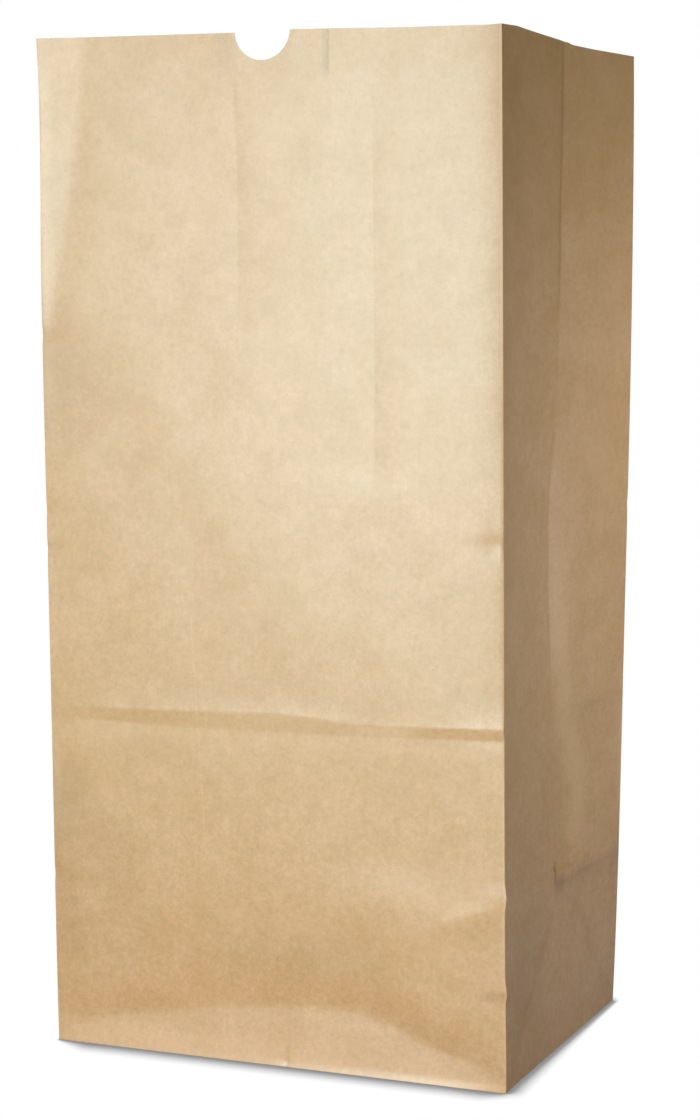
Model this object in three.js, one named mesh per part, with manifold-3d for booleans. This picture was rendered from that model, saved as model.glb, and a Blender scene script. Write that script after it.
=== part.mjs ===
// Paper yard waste bag, standing open: one two-ply kraft paper sack with side gussets and a folded, glued base.
// Millimetres, +Z up. The origin is the middle of the base on the floor, and the front panel faces -Y.
// The wall is a loft through closed sections of the paper tube, taken at the heights where the paper is creased.

import * as THREE from "three";
import { mergeVertices } from "three/addons/utils/BufferGeometryUtils.js";
import Module from "manifold-3d";

const wasm = await Module();
wasm.setup();

// Finished sizes of the bag
const WIDTH = 406; // front and back panels, fold to fold
const DEPTH = 305; // side gussets, opened flat
const HEIGHT = 850; // floor to mouth
const PAPER = 0.4; // wall of two plies
const FOLD_RADIUS = 1.2; // inside radius of the corner folds and of the fold round the base
const HALF_DEPTH = DEPTH / 2; // also the height of the base triangles' tips, where the base folded flat

// The four corner folds: how far the mouth leans off the base corner below it, as [x, y],
// and how far the fold bows sideways, along x, at half height
const FRONT_LEFT = { lean: [-4, -10.5], bow: -1.5 };
const FRONT_RIGHT = { lean: [-8, 3.5], bow: 0 };
const BACK_RIGHT = { lean: [9.5, 1.5], bow: 4 };
const BACK_LEFT = { lean: [10, -13], bow: 4 };

// Thumb notch in the middle of the front panel's top edge
const NOTCH_RADIUS = 24.5;
const NOTCH_DEPTH = 23;

// Gusset valleys: how far each centre crease is pushed in at some heights above the floor
const RIGHT_VALLEY = [
  { height: 300, push: 6.5 },
  { height: 370, push: 14 },
  { height: 505, push: 15 },
  { height: 545, push: 9.5 },
  { height: 700, push: 9 },
];
const LEFT_VALLEY = [
  { height: 330, push: 7 },
  { height: 520, push: 12 },
];
const BASE_PUSH = 4.5; // at the tip of the base triangle, on both gussets
const MOUTH_PUSH = 7.5; // at the mouth, on both gussets

// Folds across the whole bag from when it was packed flat: each is a double crease that leaves a small ledge,
// which stands out by one amount on the front and back panels and by another on the gussets
const PACK_FOLDS = [
  { height: HALF_DEPTH, panels: 0.6, gussets: 0 },
  { height: 291, panels: 1.2, gussets: 0.6 },
  { height: 595, panels: 0.4, gussets: 0.3 },
];
const LEDGE_BAND = 13; // between the two crease lines
const LEDGE_FADE = 42; // above the upper line, until the paper is flat again
const LEDGE_TAPER = 8; // a ledge runs out over one part in this many of the side, at each end

// Hollow in the front and back panels just above the base
const HOLLOW_PUSH = 4;
const HOLLOW_MIDDLE_HEIGHT = 58; // its deepest line, in the middle of the panel
const HOLLOW_END_HEIGHT = 18; // and beside the corner folds
const HOLLOW_FADE = 62; // above the deepest line, until the paper is flat again

// Glued lap seam down the back panel, and the glued flaps of the base
const SEAM_OFFSET = 70; // from the middle of the back panel to the free edge of the lap
const SEAM_LAP = 28;
const SEAM_EDGE = 0.6; // width of the cut edge's slope
const FLAP_LAP = 24; // how far the outer base flap reaches past the middle
const FLAP_MARGIN = 5; // from the fold round the base to where the flaps start to lift
const BASE_LAYERS = 3;

// Mesh steps
const PANEL_STEPS = 16;
const GUSSET_STEPS = 6; // across half a gusset, and up the base triangle
const LEVEL_GAP = 70; // most height between two sections
const LEAST_GAP = 6; // least height between two sections that aren't creases
const NOTCH_STEPS = 48;

const KRAFT = "#c9a477";
const OUTER_FOLD = FOLD_RADIUS + PAPER;
const FLOOR = BASE_LAYERS * PAPER;
const CUT_REACH = 30; // how far a cutter stands past the paper on each side

const { lerp, smoothstep } = THREE.MathUtils;

// Push of a gusset's centre crease at a height: eased from one knot to the next
function valleyPush(knots, z) {
  const all = [{ height: HALF_DEPTH, push: BASE_PUSH }, ...knots, { height: HEIGHT, push: MOUTH_PUSH }];
  all.sort((a, b) => a.height - b.height);
  let push = all[0].push;
  for (let i = 1; i < all.length; i++) {
    push += (all[i].push - all[i - 1].push) * smoothstep(z, all[i - 1].height, all[i].height);
  }
  return push;
}

// A pack fold's ledge: out from its lower crease line to the upper one, then back to the flat panel above it
function ledge(z, foldHeight) {
  const above = z - foldHeight + LEDGE_BAND / 2;
  if (above <= LEDGE_BAND) return Math.max(0, above / LEDGE_BAND);
  return 1 - smoothstep(above, LEDGE_BAND, LEDGE_BAND + LEDGE_FADE);
}

// All pack folds together on one kind of side, running out just before the corner folds
function packFolds(side, share, z) {
  const taper = Math.min(1, LEDGE_TAPER * share, LEDGE_TAPER * (1 - share));
  return PACK_FOLDS.reduce((sum, fold) => sum + fold[side] * taper * ledge(z, fold.height), 0);
}

// The hollow above the base: a straight facet up to its deepest line, then a slow return to the panel
function hollow(share, z) {
  const arch = Math.sin(Math.PI * share);
  const deepest = lerp(HOLLOW_END_HEIGHT, HOLLOW_MIDDLE_HEIGHT, arch);
  const up = z < deepest ? z / deepest : 1 - smoothstep(z, deepest, deepest + HOLLOW_FADE);
  return -HOLLOW_PUSH * Math.sqrt(arch) * up;
}

// A gusset folds in along its centre crease, and below that along the base triangle's two slanted creases
function gussetFold(knots, share, z) {
  const fromCorner = 1 - Math.abs(2 * share - 1);
  if (z < HALF_DEPTH) return -BASE_PUSH * Math.min(z / HALF_DEPTH, fromCorner);
  return -valleyPush(knots, z) * fromCorner;
}

// Lap seam on the back panel: a second layer from the free edge on, which sinks back behind the lap
function seamLift(share) {
  const along = share * WIDTH - (WIDTH / 2 - SEAM_OFFSET);
  if (along < 0) return 0;
  return PAPER * Math.min(1, along / SEAM_EDGE) * (1 - smoothstep(along, SEAM_LAP, 2 * SEAM_LAP));
}

// Each panel runs anticlockwise, seen from above, and says how far it stands outwards at a share of its width
const evenShares = (steps) => Array.from({ length: steps - 1 }, (_, i) => (i + 1) / steps);
const seamShares = [0, SEAM_EDGE, SEAM_LAP, 1.5 * SEAM_LAP, 2 * SEAM_LAP].map(
  (along) => (WIDTH / 2 - SEAM_OFFSET + along) / WIDTH,
);
const backShares = evenShares(PANEL_STEPS).filter((share) =>
  seamShares.every((edge) => Math.abs(share - edge) * WIDTH > SEAM_LAP / 4),
);
const panels = [
  {
    shares: evenShares(PANEL_STEPS),
    out: (share, z) => hollow(share, z) + packFolds("panels", share, z),
  },
  {
    shares: evenShares(2 * GUSSET_STEPS),
    out: (share, z) => gussetFold(RIGHT_VALLEY, share, z) + packFolds("gussets", share, z),
  },
  {
    shares: [...backShares, ...seamShares].sort((a, b) => a - b),
    out: (share, z) => hollow(share, z) + packFolds("panels", share, z),
    lift: seamLift,
  },
  {
    shares: evenShares(2 * GUSSET_STEPS),
    out: (share, z) => gussetFold(LEFT_VALLEY, share, z) + packFolds("gussets", share, z),
  },
];

// The four corner folds at a height, from the front left one round
function cornersAt(z) {
  const up = z / HEIGHT;
  const bowed = 1 - (2 * up - 1) ** 4;
  const corner = (x, y, { lean, bow }) =>
    new THREE.Vector2((x * WIDTH) / 2 + lean[0] * up + bow * bowed, (y * DEPTH) / 2 + lean[1] * up);
  return [
    corner(-1, -1, FRONT_LEFT),
    corner(1, -1, FRONT_RIGHT),
    corner(1, 1, BACK_RIGHT),
    corner(-1, 1, BACK_LEFT),
  ];
}

// Closed section of the tube at a height. Each corner is a round fold of three points, then comes its panel
function sectionAt(z, withLap) {
  const corners = cornersAt(z);
  const points = [];
  panels.forEach((panel, i) => {
    const [before, here, next] = [corners[(i + 3) % 4], corners[i], corners[(i + 1) % 4]];
    const back = before.clone().sub(here).normalize();
    const ahead = next.clone().sub(here).normalize();
    const middle = back.clone().add(ahead).normalize().multiplyScalar(OUTER_FOLD * (Math.SQRT2 - 1));
    points.push(here.clone().addScaledVector(back, OUTER_FOLD));
    points.push(here.clone().add(middle));
    points.push(here.clone().addScaledVector(ahead, OUTER_FOLD));
    const outward = new THREE.Vector2(ahead.y, -ahead.x);
    panel.shares.forEach((share) => {
      const lift = withLap && panel.lift ? panel.lift(share) : 0;
      const point = here.clone().lerp(next, share);
      points.push(point.addScaledVector(outward, panel.out(share, z) + lift));
    });
  });
  return points;
}

// The same section moved inwards by a distance, each point along the middle of its two edges
function inset(section, distance) {
  return section.map((point, i) => {
    const before = section.at(i - 1);
    const after = section[(i + 1) % section.length];
    const inA = new THREE.Vector2(before.y - point.y, point.x - before.x).normalize();
    const inB = new THREE.Vector2(point.y - after.y, after.x - point.x).normalize();
    const middle = inA.clone().add(inB).normalize();
    return point.clone().addScaledVector(middle, distance / middle.dot(inA));
  });
}

// Heights of the sections: the creases, and between them enough steps for the curved stretches
function levels() {
  const creases = [HEIGHT];
  const between = [...RIGHT_VALLEY, ...LEFT_VALLEY].map((knot) => knot.height);
  PACK_FOLDS.forEach((fold) => {
    const upper = fold.height + LEDGE_BAND / 2;
    creases.push(upper - LEDGE_BAND, upper);
    between.push(upper - 2 * LEDGE_BAND, upper + LEDGE_FADE / 2, upper + LEDGE_FADE);
  });
  for (let i = 1; i <= GUSSET_STEPS; i++) creases.push((HALF_DEPTH * i) / GUSSET_STEPS);
  const clear = (z, others) => others.every((other) => Math.abs(z - other) >= LEAST_GAP);
  const kept = creases.filter((z) => z > OUTER_FOLD && z <= HEIGHT);
  between
    .filter((z) => z > OUTER_FOLD && z < HEIGHT)
    .forEach((z) => clear(z, kept) && kept.push(z));
  kept.sort((a, b) => a - b);
  return kept.flatMap((z, i) => {
    const below = i ? kept[i - 1] : OUTER_FOLD;
    const steps = Math.ceil((z - below) / LEVEL_GAP);
    return Array.from({ length: steps }, (_, k) => below + ((z - below) * (k + 1)) / steps);
  });
}

// Sections of the outer face, from the flat base up round the base fold, and of the inner face, from the floor up
function outerRings() {
  const fold = [0, Math.PI / 4, Math.PI / 2].map((turn) => ({
    z: OUTER_FOLD * (1 - Math.cos(turn)),
    points: inset(sectionAt(0, true), OUTER_FOLD * (1 - Math.sin(turn))),
  }));
  return [...fold, ...levels().map((z) => ({ z, points: sectionAt(z, true) }))];
}

function innerRings() {
  return [FLOOR, ...levels()].map((z) => ({ z, points: inset(sectionAt(z, false), PAPER) }));
}

// The closed shell: outer wall, base, inner wall, floor and the cut edge round the mouth
function shellGeometry() {
  const positions = [];
  const triangles = [];
  const addRing = ({ z, points }) => {
    const first = positions.length / 3;
    points.forEach((p) => positions.push(p.x, p.y, z));
    return first;
  };
  const outer = outerRings();
  const inner = innerRings();
  const count = outer[0].points.length;
  const outerStart = outer.map(addRing);
  const innerStart = inner.map(addRing);

  // The slanted creases of the base triangles fall backwards on the far half of a gusset
  const falling = new Set();
  let column = 0;
  panels.forEach((panel, i) => {
    column += 3;
    const isGusset = i % 2 === 1;
    panel.shares.forEach((share) => {
      if (isGusset && share >= 0.5) falling.add(column);
      column += 1;
    });
  });

  const wall = (starts, facesOut) => {
    for (let j = 0; j + 1 < starts.length; j++) {
      for (let k = 0; k < count; k++) {
        const next = (k + 1) % count;
        const [a, b] = [starts[j] + k, starts[j] + next];
        const [d, c] = [starts[j + 1] + k, starts[j + 1] + next];
        const pair = falling.has(k) ? [[a, b, d], [b, c, d]] : [[a, b, c], [a, c, d]];
        pair.forEach((t) => triangles.push(...(facesOut ? t : t.reverse())));
      }
    }
  };
  const cap = (start, points, facesUp) => {
    THREE.ShapeUtils.triangulateShape(points, []).forEach((t) => {
      const corners = t.map((i) => start + i);
      triangles.push(...(facesUp ? corners : corners.reverse()));
    });
  };
  wall(outerStart, true);
  wall(innerStart, false);
  cap(outerStart[0], outer[0].points, false);
  cap(innerStart[0], inner[0].points, true);
  for (let k = 0; k < count; k++) {
    const next = (k + 1) % count;
    const [a, b] = [outerStart.at(-1) + k, outerStart.at(-1) + next];
    const [d, c] = [innerStart.at(-1) + k, innerStart.at(-1) + next];
    triangles.push(a, b, c, a, c, d);
  }
  const geometry = new THREE.BufferGeometry();
  geometry.setAttribute("position", new THREE.Float32BufferAttribute(positions, 3));
  geometry.setIndex(triangles);
  return geometry;
}

// Round cutter for the thumb notch, through the front panel only
function notchGeometry() {
  const [left, right] = cornersAt(HEIGHT);
  const middle = left.clone().lerp(right, 0.5);
  const circle = new THREE.Shape().absarc(0, 0, NOTCH_RADIUS, 0, 2 * Math.PI);
  const options = { depth: 2 * CUT_REACH, bevelEnabled: false, curveSegments: NOTCH_STEPS };
  const geometry = new THREE.ExtrudeGeometry(circle, options);
  geometry.rotateX(Math.PI / 2);
  const centre = HEIGHT + NOTCH_RADIUS - NOTCH_DEPTH;
  return geometry.translate(middle.x, middle.y + CUT_REACH, centre);
}

// Cutter under the base: a prism over an outline, with a top that slopes up to a depth at each corner
function underCutGeometry(outline, depths) {
  const count = outline.length;
  const positions = [];
  outline.forEach((p) => positions.push(p.x, p.y, -CUT_REACH));
  outline.forEach((p, i) => positions.push(p.x, p.y, depths[i]));
  const triangles = [];
  THREE.ShapeUtils.triangulateShape(outline, []).forEach(([a, b, c]) => {
    triangles.push(c, b, a, a + count, b + count, c + count);
  });
  for (let i = 0; i < count; i++) {
    const next = (i + 1) % count;
    triangles.push(i, next, next + count, i, next + count, i + count);
  }
  const geometry = new THREE.BufferGeometry();
  geometry.setAttribute("position", new THREE.Float32BufferAttribute(positions, 3));
  geometry.setIndex(triangles);
  return geometry;
}

// The base seen from below is folded like an envelope: the front flap lies outermost, past the middle,
// the back flap lies one layer deeper, and the gussets' end triangles lie under both flaps, against the floor
function baseFlapCutters() {
  const x = WIDTH / 2 - OUTER_FOLD - FLAP_MARGIN;
  const y = DEPTH / 2 - OUTER_FOLD - FLAP_MARGIN;
  const tip = x - y;
  const lap = Math.min(FLAP_LAP, tip);
  const point = (px, py) => new THREE.Vector2(px, py);
  const endTriangle = (side) => {
    const outline = [point(side * x, -y), point(side * x, y), point(side * tip, 0)];
    const depths = [0, 0, (BASE_LAYERS - 1) * PAPER];
    if (side < 0) outline.reverse();
    if (side < 0) depths.reverse();
    return underCutGeometry(outline, depths);
  };
  const backFlap = [
    point(x, y),
    point(-x, y),
    point(-tip, 0),
    point(lap - tip, lap),
    point(tip - lap, lap),
    point(tip, 0),
  ];
  const backDepths = backFlap.map((p) => (PAPER * (y - p.y)) / (y - lap));
  return [endTriangle(1), endTriangle(-1), underCutGeometry(backFlap, backDepths)];
}

// Geometry to a solid for the cuts, and back
function toSolid(geometry) {
  const bare = geometry.clone();
  bare.deleteAttribute("normal");
  bare.deleteAttribute("uv");
  const merged = mergeVertices(bare);
  return new wasm.Manifold(
    new wasm.Mesh({
      numProp: 3,
      vertProperties: new Float32Array(merged.attributes.position.array),
      triVerts: new Uint32Array(merged.index.array),
    }),
  );
}

function toGeometry(solid) {
  const mesh = solid.getMesh();
  const geometry = new THREE.BufferGeometry();
  geometry.setAttribute("position", new THREE.BufferAttribute(mesh.vertProperties, 3));
  geometry.setIndex(new THREE.BufferAttribute(mesh.triVerts, 1));
  geometry.computeVertexNormals();
  return geometry;
}

function paperBag() {
  let solid = toSolid(shellGeometry());
  [notchGeometry(), ...baseFlapCutters()].forEach((cutter) => {
    solid = solid.subtract(toSolid(cutter));
  });
  const kraft = new THREE.MeshStandardMaterial({ color: KRAFT, roughness: 0.8, metalness: 0 });
  const mesh = new THREE.Mesh(toGeometry(solid), kraft);
  mesh.name = "paper_bag";
  return mesh;
}

const bag = new THREE.Group();
bag.name = "yard_waste_bag";
bag.add(paperBag());

export default bag;
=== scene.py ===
# Paper yard waste bag, standing open: one kraft paper sheet, folded and glued to a tall gusseted sack.
# The scene is in metres, +Z up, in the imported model's frame. Lengths on the paper are in millimetres.

import math

import bpy
import numpy as np
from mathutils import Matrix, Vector


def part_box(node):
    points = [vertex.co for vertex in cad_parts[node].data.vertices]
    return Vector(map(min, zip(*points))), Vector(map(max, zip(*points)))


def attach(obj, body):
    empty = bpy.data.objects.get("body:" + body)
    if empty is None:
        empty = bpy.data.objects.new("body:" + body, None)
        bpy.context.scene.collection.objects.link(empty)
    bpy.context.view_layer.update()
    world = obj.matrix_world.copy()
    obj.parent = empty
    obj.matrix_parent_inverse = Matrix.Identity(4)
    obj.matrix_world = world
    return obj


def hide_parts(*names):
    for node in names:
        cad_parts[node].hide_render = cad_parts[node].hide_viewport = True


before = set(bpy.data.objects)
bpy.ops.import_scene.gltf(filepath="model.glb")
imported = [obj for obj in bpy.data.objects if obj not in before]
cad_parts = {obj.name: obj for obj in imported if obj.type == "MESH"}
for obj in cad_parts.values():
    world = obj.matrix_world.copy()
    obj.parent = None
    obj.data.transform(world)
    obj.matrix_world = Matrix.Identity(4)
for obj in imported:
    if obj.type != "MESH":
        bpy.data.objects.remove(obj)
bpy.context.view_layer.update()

# Camera: at the photograph's viewing angle, right of the bag's front and a little above its middle.
# Its place and lens were fitted to the bag's corners, in the photograph's 700 by 1120 pixels.
CAMERA_PLACE = Vector((0.8734, -2.0965, 0.6382))
CAMERA_TARGET = Vector((0.0068, -0.0009, 0.4103))
SENSOR = 36.0
FOCAL_PIXELS = 2615.0
IMAGE_HEIGHT_PIXELS = 1120.0

camera = bpy.data.objects.new("camera", bpy.data.cameras.new("camera"))
camera.data.sensor_width = SENSOR
camera.data.lens = SENSOR * FOCAL_PIXELS / IMAGE_HEIGHT_PIXELS
camera.location = CAMERA_PLACE
camera.rotation_euler = (CAMERA_TARGET - CAMERA_PLACE).to_track_quat("-Z", "Y").to_euler()
bpy.context.collection.objects.link(camera)
bpy.context.scene.camera = camera

# Kraft bag: one sheet of two-ply brown kraft paper, rolled to a tube with a glued lap seam down the back,
# creased to two panels and two gussets, and closed below by glued flaps. It was packed folded across, and
# it still shows those folds, the hollow that they left above the base, and dents from handling.
MM = 0.001
WIDTH = 406.0  # front and back panels, fold to fold
DEPTH = 305.0  # side gussets, opened flat
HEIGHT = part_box("paper_bag")[1].z / MM
PAPER = 0.4  # wall of two plies
FOLD_RADIUS = 0.5  # outside of the corner folds
ROLL_RADIUS = 0.5  # outside of the fold round the base


# Below, a pair of places named together belongs to a smooth step, and a group of four to a smooth window
def ease(value, low, high):
    """Smooth step: 0 up to low, 1 from high on, with a level start and end in between."""
    t = np.clip((value - low) / (high - low), 0, 1)
    return t * t * (3 - 2 * t)


def window(value, low, full, fading, high):
    """Smooth window: a smooth step up from low to full, and one down from fading to high."""
    return ease(value, low, full) * (1 - ease(value, fading, high))


def mound(offset, reach):
    """Bell curve: 1 at no offset, falling with the square of the offset over the reach."""
    return np.exp(-((offset / reach) ** 2))


def crease_line(offset, before, after):
    """Sharp line: 1 at no offset, falling exponentially over one reach before it and another after it."""
    return np.exp(-np.abs(offset) / np.where(offset < 0, before, after))


def soft_spots(across, v, spots):
    """Sum of soft spots: for each, its strength times a bell curve across and one up."""
    total = 0
    for at_across, at_v, reach_across, reach_v, strength in spots:
        total = total + strength * mound(across - at_across, reach_across) * mound(v - at_v, reach_v)
    return total


def eased_steps(v, heights, values):
    """A value that varies with the height: eased from each named height's value to the next one's."""
    total = values[0]
    for i in range(1, len(heights)):
        total = total + (values[i] - values[i - 1]) * ease(v, heights[i - 1], heights[i])
    return total


# The corner folds in order: front left, front right, back right and back left.
# Each starts at its foot, leans off it towards the mouth, and bows sideways at half height.
FRONT_RIGHT_SPREAD = 1.8  # the front right foot stands this far out to the side
CORNER_FEET = np.array([
    [-WIDTH / 2, -DEPTH / 2],
    [WIDTH / 2 + FRONT_RIGHT_SPREAD, -DEPTH / 2],
    [WIDTH / 2, DEPTH / 2],
    [-WIDTH / 2, DEPTH / 2],
])
CORNER_LEAN = np.array([[-4, -10.5], [-9.3, 3.5], [10.1, 1.5], [10, -13]])
CORNER_BOW = np.array([-1.5, 0.2, 2.9, 4])


def corner_folds(z):
    """Places of the four corner folds at the heights z: the foot, plus its lean by the share of the
    height and its bow, which is level over the middle and gone at both ends."""
    up = z / HEIGHT
    bowed = 1 - (2 * up - 1) ** 4
    places = CORNER_FEET[:, None] + CORNER_LEAN[:, None] * up[:, None]
    places[..., 0] += CORNER_BOW[:, None] * bowed
    return places


# Main pack fold: a double crease across the panel with a ledge above it. The heights of its two lines and
# the ledge's rise are given at a few places across the panel.
LEDGE_LOW = 283.0
LEDGE_HIGH = 295.0
LEDGE_FALL = 14.0  # the ledge runs out above its upper line over this length
LEDGE_REACH = [200, 380]  # beyond these heights the rows of the mesh don't follow the two lines
LINE_PLACES = [-203, -100, 5, 80, 136, 203]
LOW_LINE = [283.0, 281.5, 281.7, 282.9, 284.9, 287.0]
HIGH_LINE = [292.0, 294.7, 297.8, 293.0, 293.8, 296.0]
LEDGE_PLACES = [-203, -150, -110, 50, 88, 130, 203]
LEDGE_RISES = [0.0, 0.7, 1.0, 0.75, 0.35, 0.65, 1.6]
LOWER_CURL = 0.2  # depth at the lower line in the left half
LOWER_CURL_ACROSS = (40, 140, 170, WIDTH / 2)  # counted to the left
LOWER_CURL_BELOW = 9.0
LOWER_CURL_ABOVE = 20.0
RIGHT_FOLD = 202.0  # place of the right corner fold at that height
KINK_FADE = 16.0  # what pushes a corner fold dies away into the panels over this length


def ledge_band(v):
    """The main pack fold's ledge: a straight rise between its two lines, then an exponential fall."""
    rise = np.clip((v - LEDGE_LOW) / (LEDGE_HIGH - LEDGE_LOW), 0, 1)
    return rise * np.exp(-np.maximum(v - LEDGE_HIGH, 0) / LEDGE_FALL)


def main_pack_fold(x, v):
    """Double crease across the panel: the ledge by its rise at each place, less what the right fold's own
    ledge gives near it, and in the left half the paper curls in to the lower line exponentially."""
    by_fold = np.exp(-np.maximum(RIGHT_FOLD - x, 0) / KINK_FADE)
    ledge = (np.interp(x, LEDGE_PLACES, LEDGE_RISES) - LEDGE_RISES[-1] * by_fold) * ledge_band(v)
    curl = crease_line(v - LEDGE_LOW, before=LOWER_CURL_BELOW, after=LOWER_CURL_ABOVE)
    return ledge - LOWER_CURL * window(-x, *LOWER_CURL_ACROSS) * curl


# Kinks of the corner folds: corner, height, reach along the fold, and push in x and y
FOLD_KINKS = [
    (0, 862, 34, -1.4, 0.0),
    (0, 765, 80, 1.4, 0.0),
    (0, 607, 7, 0.2, 0.7),
    (0, 459, 6, 0.2, 0.6),
    (0, 426, 5, 0.2, 0.6),
    (0, 280, 240, 1.2, 0.0),
    (0, 147, 6, 0.2, 0.5),
    (1, 443, 6, -0.7, 1.0),
    (1, 283, 5, -0.2, 0.6),
    (1, 160, 8, 1.7, -0.8),
    (1, 82, 7, 1.3, -0.5),
    (1, 20, 60, 0.9, 0.0),
    (2, 540, 150, 0.7, 0.0),
    (2, 455, 6, -0.4, 0.0),
]


def fold_kinks(z):
    """Moves of the four corner folds at the heights z by their kinks, each a bell curve along the fold,
    and of the front right one by the main pack fold's ledge, which runs out over it."""
    moves = np.zeros((4, len(z), 2))
    for corner, height, reach, push_x, push_y in FOLD_KINKS:
        moves[corner] += mound(z - height, reach)[:, None] * [push_x, push_y]
    moves[1, :, 1] -= LEDGE_RISES[-1] * ledge_band(z)
    return moves


# Half pack fold: a second crease, half as high, with a sharp ridge at the right fold and two soft ledges
RIDGE_START = 153.0  # height of the ridge at the right fold
RIDGE_SLOPE = 0.25
RIDGE_BEND = 0.0018
RIDGE_RISE = 1.3
RIDGE_BELOW = 26.0
RIDGE_ABOVE = 15.0
RIDGE_ACROSS = (70, 185)
LEFT_LEDGE_RISE = 0.5
LEFT_LEDGE_ACROSS = (130, 195)  # counted to the left
LEFT_LEDGE_UP = (138, 154, 154, 190)
RIGHT_LEDGE_RISE = 1.0
RIGHT_LEDGE_ACROSS = (10, 90, 110, 190)
RIGHT_LEDGE_UP = (96, 146, 146, 184)


def half_pack_fold(x, v):
    """Second crease: beside the right fold the paper stands out in a sharp ridge that runs down to the
    left along a parabola, with an exponential slope above and a straight one below, and on both sides
    there is a soft ledge."""
    away = WIDTH / 2 - x
    ridge = RIDGE_START - RIDGE_SLOPE * away - RIDGE_BEND * away**2
    below = np.clip(1 - (ridge - v) / RIDGE_BELOW, 0, 1)
    above = np.exp(-np.maximum(v - ridge, 0) / RIDGE_ABOVE)
    slopes = RIDGE_RISE * ease(x, *RIDGE_ACROSS) * np.where(v < ridge, below, above)
    left_ledge = window(v, *LEFT_LEDGE_UP) * ease(-x, *LEFT_LEDGE_ACROSS)
    right_ledge = window(v, *RIGHT_LEDGE_UP) * window(x, *RIGHT_LEDGE_ACROSS)
    return slopes + LEFT_LEDGE_RISE * left_ledge + RIGHT_LEDGE_RISE * right_ledge


# Hollow above the base: the height of its deepest line, a flat arch, at places across the panel, its
# depth under the arch's crown, and the lean of the panel's foot
ARCH_PLACES = [-203, -180, -145, -85, -20, 32, 70, 108, 144, 176, 203]
ARCH_HEIGHTS = [12, 18, 28, 41, 51, 54, 55, 45, 31, 22, 12]
ARCH_CROWN = 54.0
ARCH_WAVE = 0.8
ARCH_WAVE_LENGTH = 13.0  # for one radian
HOLLOW_DEPTH = 4.8
HOLLOW_FADE = 28.0  # above the deepest line
HOLLOW_FADE_MORE = 7.0  # added to it at the left
HOLLOW_FADE_ACROSS = (-140, -30)
HOLLOW_FADE_LEAST = 0.3  # share of it that is left at the folds
DEPTH_POWER = 0.6
FACET_POWER = 0.85
TAPER_POWER = 8
FOOT_HEIGHT = 5.0
FOOT_DEPTH = 0.35
FOOT_FADE = 40.0
FOOT_ACROSS = (-80, 130)


def base_hollow(x, v):
    """Hollow above the base: a facet leans in up to the deepest line, a flat arch with a slight sine
    wave, and above that line the panel comes back exponentially, slower at the left. The panel's foot
    leans in more at the right. All of it tapers off towards both folds by a power of the place."""
    deepest = np.interp(x, ARCH_PLACES, ARCH_HEIGHTS) + ARCH_WAVE * np.sin(x / ARCH_WAVE_LENGTH)
    taper = 1 - np.abs(np.clip(x / (WIDTH / 2), -1, 1)) ** TAPER_POWER
    fade = HOLLOW_FADE + HOLLOW_FADE_MORE * (1 - ease(x, *HOLLOW_FADE_ACROSS))
    fade = fade * (HOLLOW_FADE_LEAST + (1 - HOLLOW_FADE_LEAST) * taper)
    depth = HOLLOW_DEPTH * (deepest / ARCH_CROWN) ** DEPTH_POWER
    facet = (v / deepest) ** FACET_POWER
    up = np.where(v < deepest, facet, np.exp(-np.maximum(v - deepest, 0) / fade))
    lean = np.clip(v / FOOT_HEIGHT, 0, 1) * np.exp(-np.maximum(v - FOOT_HEIGHT, 0) / FOOT_FADE)
    foot = FOOT_DEPTH * ease(x, *FOOT_ACROSS) * lean
    return -(depth * up + foot) * taper


# Flare of the mouth's left corner, and crown of the panel beside the right fold
FLARE_FOOT = 607.0  # height where the flare starts
FLARE_WIDTH = 42.0  # of its facet, at the mouth
FLARE_DEPTH = 2.9
FLARE_POWER = 0.7
FLARE_ACROSS = (-150, 150)  # where the panel comes back
VALLEY_ROUND = 0.1  # share of the facet's width over which its valley is rounded
CROWN_RISE = 1.5
CROWN_REACH = 14.0
CROWN_UP = (200, 330)


def mouth_flare(x, v):
    """The upper left corner stands forward: a flat facet falls, by a power of the height, from the left
    fold to a valley, rounded by a parabola, that runs from the top edge down to the fold, and beyond it
    the panel comes back by a smooth step."""
    rise = np.clip((v - FLARE_FOOT) / (HEIGHT - FLARE_FOOT), 0, 1) ** FLARE_POWER
    fold = CORNER_FEET[0, 0] + CORNER_LEAN[0, 0] * v / HEIGHT
    t = np.maximum(x - fold, 0) / (FLARE_WIDTH * rise + 1)
    bend = 1 - np.clip(1 + VALLEY_ROUND - t, 0, 2 * VALLEY_ROUND) ** 2 / (4 * VALLEY_ROUND)
    facet = np.where(t < 1 - VALLEY_ROUND, t, bend)
    return -FLARE_DEPTH * rise * facet * (1 - ease(x, *FLARE_ACROSS))


def panel_crown(from_fold, v):
    """Above the main pack fold the panel rises beside the right fold, exponentially over a short reach,
    and comes down evenly to the left fold."""
    rise = 1 - np.exp(-from_fold / CROWN_REACH)
    return CROWN_RISE * ease(v, *CROWN_UP) * rise * (1 - from_fold / WIDTH)


# Dents from handling. Slanted ones of the front panel: place across and up, and depth.
SLANTED_DENTS = [(-53, 587, 0.15), (68, 588, 0.3), (152, 597, 0.5), (72, 405, 0.15), (57, 365, 0.12)]
DENT_SLANT = (0.8, 0.6)  # cosine and sine of their fall to the right
DENT_LENGTH = 12.0
DENT_LOWER_FLANK = 18.0
DENT_UPPER_FLANK = 5.0
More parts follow.
